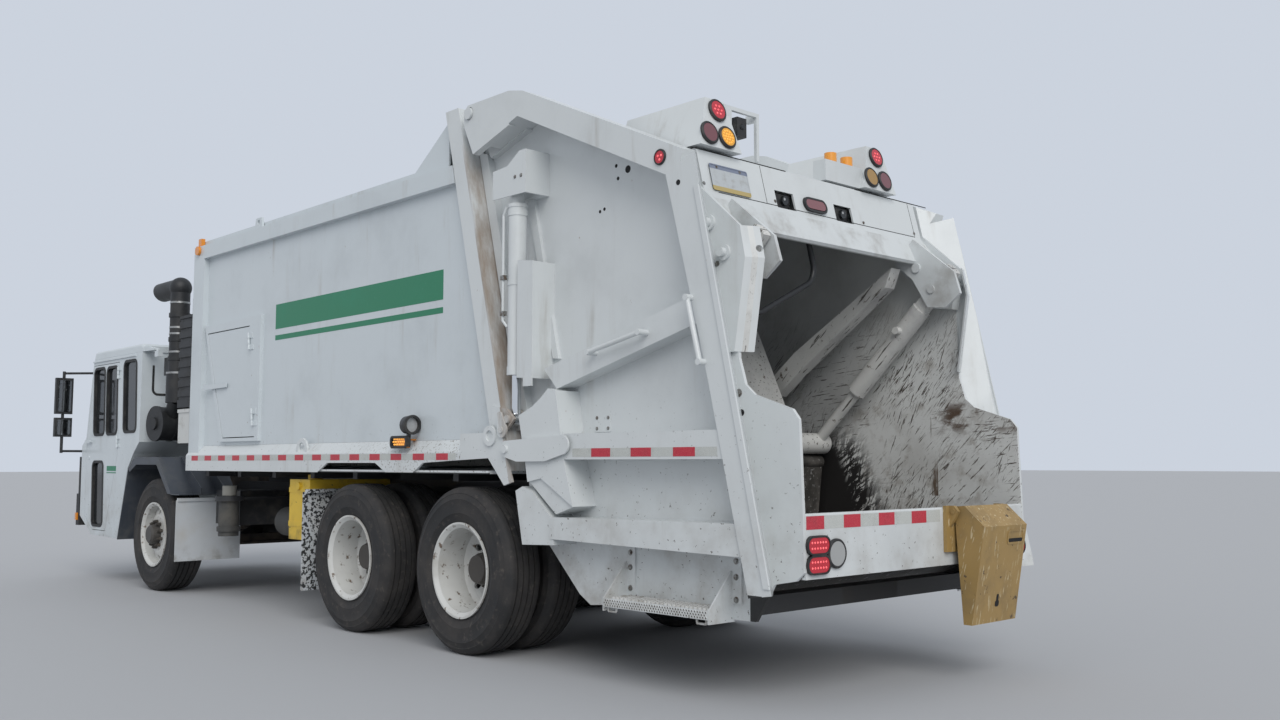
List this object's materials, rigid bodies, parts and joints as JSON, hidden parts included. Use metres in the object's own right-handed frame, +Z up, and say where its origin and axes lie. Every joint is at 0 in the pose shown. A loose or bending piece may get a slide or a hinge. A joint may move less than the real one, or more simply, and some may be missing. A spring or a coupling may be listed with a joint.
{
  "type": "rear loader garbage truck",
  "caption": "White rear-loading refuse truck: low-entry cab-over, tandem chassis, ribbed load body, lifting tailgate with open hopper, packer and cart tipper.",
  "frame": {"origin": "on the ground under the middle of the truck's overall length", "axes": "+X forwards along the truck, +Y to its left, +Z up"},
  "size_m": [9.94, 2.96, 3.49],
  "materials": {
    "white_paint": "gloss white enamel, road grime",
    "hopper_steel": "worn grey paint over scratched steel",
    "black_frame": "dusty black chassis paint",
    "fender_grey": "dark blue-grey satin paint",
    "yellow_paint": "chipped yellow enamel",
    "tipper_tan": "scuffed ochre enamel",
    "rim_white": "chalky white rim paint",
    "tyre": "dusty tyre rubber",
    "chrome_rod": "polished piston rod",
    "cast_axle": "oily cast iron",
    "flap_rubber": "pale dusty flap",
    "lamp_plastic": "moulded lamp lens and housing",
    "black_plastic": "moulded black plastic",
    "cab_trim": "grained cab trim and vinyl",
    "glass": "tinted safety glass"
  },
  "bodies": {
    "chassis": {"chassis_frame": "black_frame", "front_axle": "cast_axle", "rear_axles": "cast_axle", "rear_suspension": "black_frame", "engine": "cast_axle", "air_intake": "black_plastic", "battery_box": "black_frame", "hydraulic_tank": "yellow_paint", "air_tanks": "black_frame", "front_fenders": "fender_grey", "mud_flaps": "flap_rubber", "front_bumper": "black_frame", "cab_shell": "white_paint", "cab_roof": "white_paint", "cab_glass": "glass", "cab_interior": "cab_trim", "mirrors": "black_plastic", "body_floor": "white_paint", "body_side_left": "white_paint", "body_side_right": "white_paint", "body_roof": "white_paint", "body_front_wall": "white_paint", "body_rear_frame": "white_paint", "body_lamps": "lamp_plastic"},
    "knuckle_left": {"knuckle_left": "cast_axle"},
    "knuckle_right": {"knuckle_right": "cast_axle"},
    "tie_rod": {"tie_rod": "cast_axle"},
    "front_wheel_left": {"rim_front_left": "rim_white", "tyre_front_left": "tyre"},
    "front_wheel_right": {"rim_front_right": "rim_white", "tyre_front_right": "tyre"},
    "cab_door_left": {"door_left": "white_paint", "door_glass_left": "glass"},
    "cab_door_right": {"door_right": "white_paint", "door_glass_right": "glass"},
    "access_door": {"access_door": "white_paint"},
    "ejector": {"ejector_panel": "hopper_steel"},
    "tailgate": {"tailgate_side_left": "white_paint", "tailgate_side_right": "white_paint", "hopper_floor": "hopper_steel", "rear_sill": "white_paint", "tailgate_header": "white_paint", "tailgate_roof": "white_paint", "rear_lamps": "lamp_plastic", "packer_barrels": "hopper_steel", "packer_struts": "hopper_steel", "tipper_bracket": "tipper_tan"},
    "packer_carriage": {"packer_carriage": "hopper_steel"},
    "packer_blade": {"packer_blade": "hopper_steel"},
    "lift_barrels": {"lift_barrels": "white_paint"},
    "lift_rods": {"lift_rods": "chrome_rod"},
    "cart_tipper": {"tipper_face": "tipper_tan"},
    "rear_wheel_1_left": {"rim_rear_1_left": "rim_white", "tyres_rear_1_left": "tyre"},
    "rear_wheel_1_right": {"rim_rear_1_right": "rim_white", "tyres_rear_1_right": "tyre"},
    "rear_wheel_2_left": {"rim_rear_2_left": "rim_white", "tyres_rear_2_left": "tyre"},
    "rear_wheel_2_right": {"rim_rear_2_right": "rim_white", "tyres_rear_2_right": "tyre"}
  },
  "joints": [
    {"name": "steer_left", "type": "hinge", "parent": "chassis", "child": "knuckle_left", "pos_m": [2.879, 0.9, 0.52], "axis": [0, 0, 1], "range_deg": [-35, 35]},
    {"name": "steer_right", "type": "hinge", "parent": "chassis", "child": "knuckle_right", "pos_m": [2.879, -0.9, 0.52], "axis": [0, 0, 1], "range_deg": [-35, 35]},
    {"name": "tie_rod_left", "type": "hinge", "parent": "knuckle_left", "child": "tie_rod", "pos_m": [2.709, 0.9, 0.414], "axis": [0, 0, 1], "range_deg": [-35, 35]},
    {"name": "front_wheel_spin_left", "type": "hinge", "parent": "knuckle_left", "child": "front_wheel_left", "pos_m": [2.879, 0.9, 0.52], "axis": [0, 1, 0], "continuous": true},
    {"name": "front_wheel_spin_right", "type": "hinge", "parent": "knuckle_right", "child": "front_wheel_right", "pos_m": [2.879, -0.9, 0.52], "axis": [0, 1, 0], "continuous": true},
    {"name": "rear_wheel_spin_1_left", "type": "hinge", "parent": "chassis", "child": "rear_wheel_1_left", "pos_m": [-0.794, 0.9, 0.52], "axis": [0, 1, 0], "continuous": true},
    {"name": "rear_wheel_spin_1_right", "type": "hinge", "parent": "chassis", "child": "rear_wheel_1_right", "pos_m": [-0.794, -0.9, 0.52], "axis": [0, 1, 0], "continuous": true},
    {"name": "rear_wheel_spin_2_left", "type": "hinge", "parent": "chassis", "child": "rear_wheel_2_left", "pos_m": [-2.16, 0.9, 0.52], "axis": [0, 1, 0], "continuous": true},
    {"name": "rear_wheel_spin_2_right", "type": "hinge", "parent": "chassis", "child": "rear_wheel_2_right", "pos_m": [-2.16, -0.9, 0.52], "axis": [0, 1, 0], "continuous": true},
    {"name": "cab_door_hinge_left", "type": "hinge", "parent": "chassis", "child": "cab_door_left", "pos_m": [3.813, 1.212, 1.294], "axis": [0.0408, 0, 0.9992], "range_deg": [0, 80]},
    {"name": "cab_door_hinge_right", "type": "hinge", "parent": "chassis", "child": "cab_door_right", "pos_m": [3.813, -1.212, 1.294], "axis": [-0.0408, 0, -0.9992], "range_deg": [0, 80]},
    {"name": "access_door_hinge", "type": "hinge", "parent": "chassis", "child": "access_door", "pos_m": [0.817, 1.192, 1.396], "axis": [0.146, 0, 0.9893], "range_deg": [0, 110]},
    {"name": "ejector_slide", "type": "slide", "parent": "chassis", "child": "ejector", "axis": [-1, 0, 0], "range_m": [0, 2.3]},
    {"name": "tailgate_lift", "type": "hinge", "parent": "chassis", "child": "tailgate", "pos_m": [-2.233, 0, 3.413], "axis": [0, 1, 0], "range_deg": [0, 85]},
    {"name": "lift_barrel_pin", "type": "hinge", "parent": "tailgate", "child": "lift_barrels", "pos_m": [-2.66, 0, 2.95], "axis": [0, 1, 0], "range_deg": [-90, 5]},
    {"name": "lift_rod_slide", "type": "slide", "parent": "lift_barrels", "child": "lift_rods", "axis": [0, 0, -1], "range_m": [0, 0.86]},
    {"name": "packer_slide", "type": "slide", "parent": "tailgate", "child": "packer_carriage", "axis": [0.7145, 0, -0.6997], "range_m": [-0.3, 0]},
    {"name": "blade_swing", "type": "hinge", "parent": "packer_carriage", "child": "packer_blade", "pos_m": [-3.28, 0, 1.195], "axis": [0, 1, 0], "range_deg": [-20, 80]},
    {"name": "tipper_swing", "type": "hinge", "parent": "tailgate", "child": "cart_tipper", "pos_m": [-4.805, -0.47, 0.925], "axis": [0, 1, 0], "range_deg": [0, 110]}
  ],
  "couplings": [
    {"joint": "steer_right", "follows": "steer_left", "ratio": 1},
    {"joint": "tie_rod_left", "follows": "steer_left", "ratio": -1},
    {"joint": "lift_barrel_pin", "follows": "tailgate_lift", "ratio": -1.0205},
    {"joint": "lift_rod_slide", "follows": "tailgate_lift", "m_per_rad": 0.57236}
  ]
}
